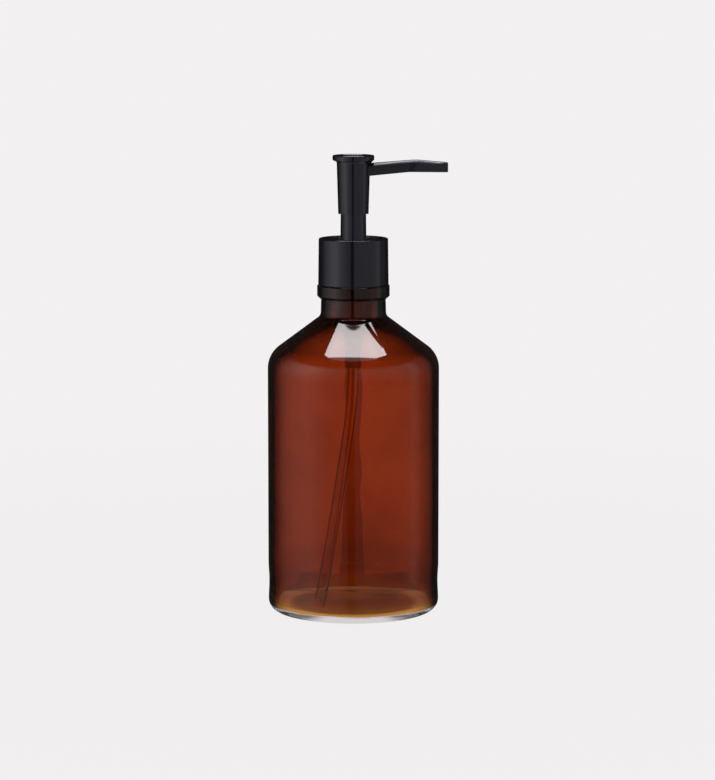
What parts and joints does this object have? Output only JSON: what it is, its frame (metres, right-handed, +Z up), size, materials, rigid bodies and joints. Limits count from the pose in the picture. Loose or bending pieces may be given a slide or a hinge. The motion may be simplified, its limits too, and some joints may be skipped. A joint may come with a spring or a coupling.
{
  "type": "soap pump dispenser",
  "caption": "Round glass bottle with a brown coating, sloped shoulder and screw-on black lotion pump; pressing the flanged head draws soap up the dip tube and out of the bent nozzle.",
  "frame": {"origin": "the point where the bottle's axis meets the surface it stands on", "axes": "+Z up along the bottle's axis, +X the way the nozzle points"},
  "size_m": [0.0796, 0.076, 0.203],
  "materials": {
    "coated_glass": "clear glass, coated amber brown outside, with a bare clear base",
    "black_plastic": "smooth gloss black polypropylene",
    "natural_plastic": "natural uncoloured polypropylene",
    "gasket_foam": "white polyethylene foam",
    "clear_tube": "translucent polyethylene tube",
    "spring_steel": "drawn stainless steel"
  },
  "bodies": {
    "bottle": {"glass_bottle": "coated_glass"},
    "pump_body": {"pump_housing": "natural_plastic", "guide_tube": "black_plastic", "neck_gasket": "gasket_foam", "dip_tube": "clear_tube", "return_spring": "spring_steel"},
    "screw_collar": {"collar": "black_plastic"},
    "plunger": {"stem": "natural_plastic", "valve_poppet": "natural_plastic"},
    "sliding_piston": {"piston": "natural_plastic"},
    "head": {"actuator_head": "black_plastic"},
    "ball": {"inlet_ball": "spring_steel"}
  },
  "joints": [
    {"name": "pump_lift", "type": "slide", "parent": "bottle", "child": "pump_body", "axis": [0, 0, 1], "range_m": [0, 0.00635]},
    {"name": "collar_turn", "type": "hinge", "parent": "pump_body", "child": "screw_collar", "pos_m": [0, 0, 0.155], "axis": [0, 0, 1], "range_deg": [0, 540]},
    {"name": "pump_stroke", "type": "slide", "parent": "pump_body", "child": "plunger", "axis": [0, 0, -1], "range_m": [0, 0.01], "stiffness_N_per_m": 1000, "springref_m": -0.008, "deforming": ["return_spring"]},
    {"name": "piston_play", "type": "slide", "parent": "plunger", "child": "sliding_piston", "axis": [0, 0, 1], "range_m": [0, 0.0009]},
    {"name": "head_turn", "type": "hinge", "parent": "plunger", "child": "head", "pos_m": [0, 0, 0.19], "axis": [0, 0, 1], "continuous": true},
    {"name": "ball_lift", "type": "slide", "parent": "pump_body", "child": "ball", "axis": [0, 0, 1], "range_m": [0, 0.0012]}
  ],
  "couplings": [
    {"joint": "collar_turn", "follows": "pump_lift", "rad_per_m": 1484.2}
  ]
}
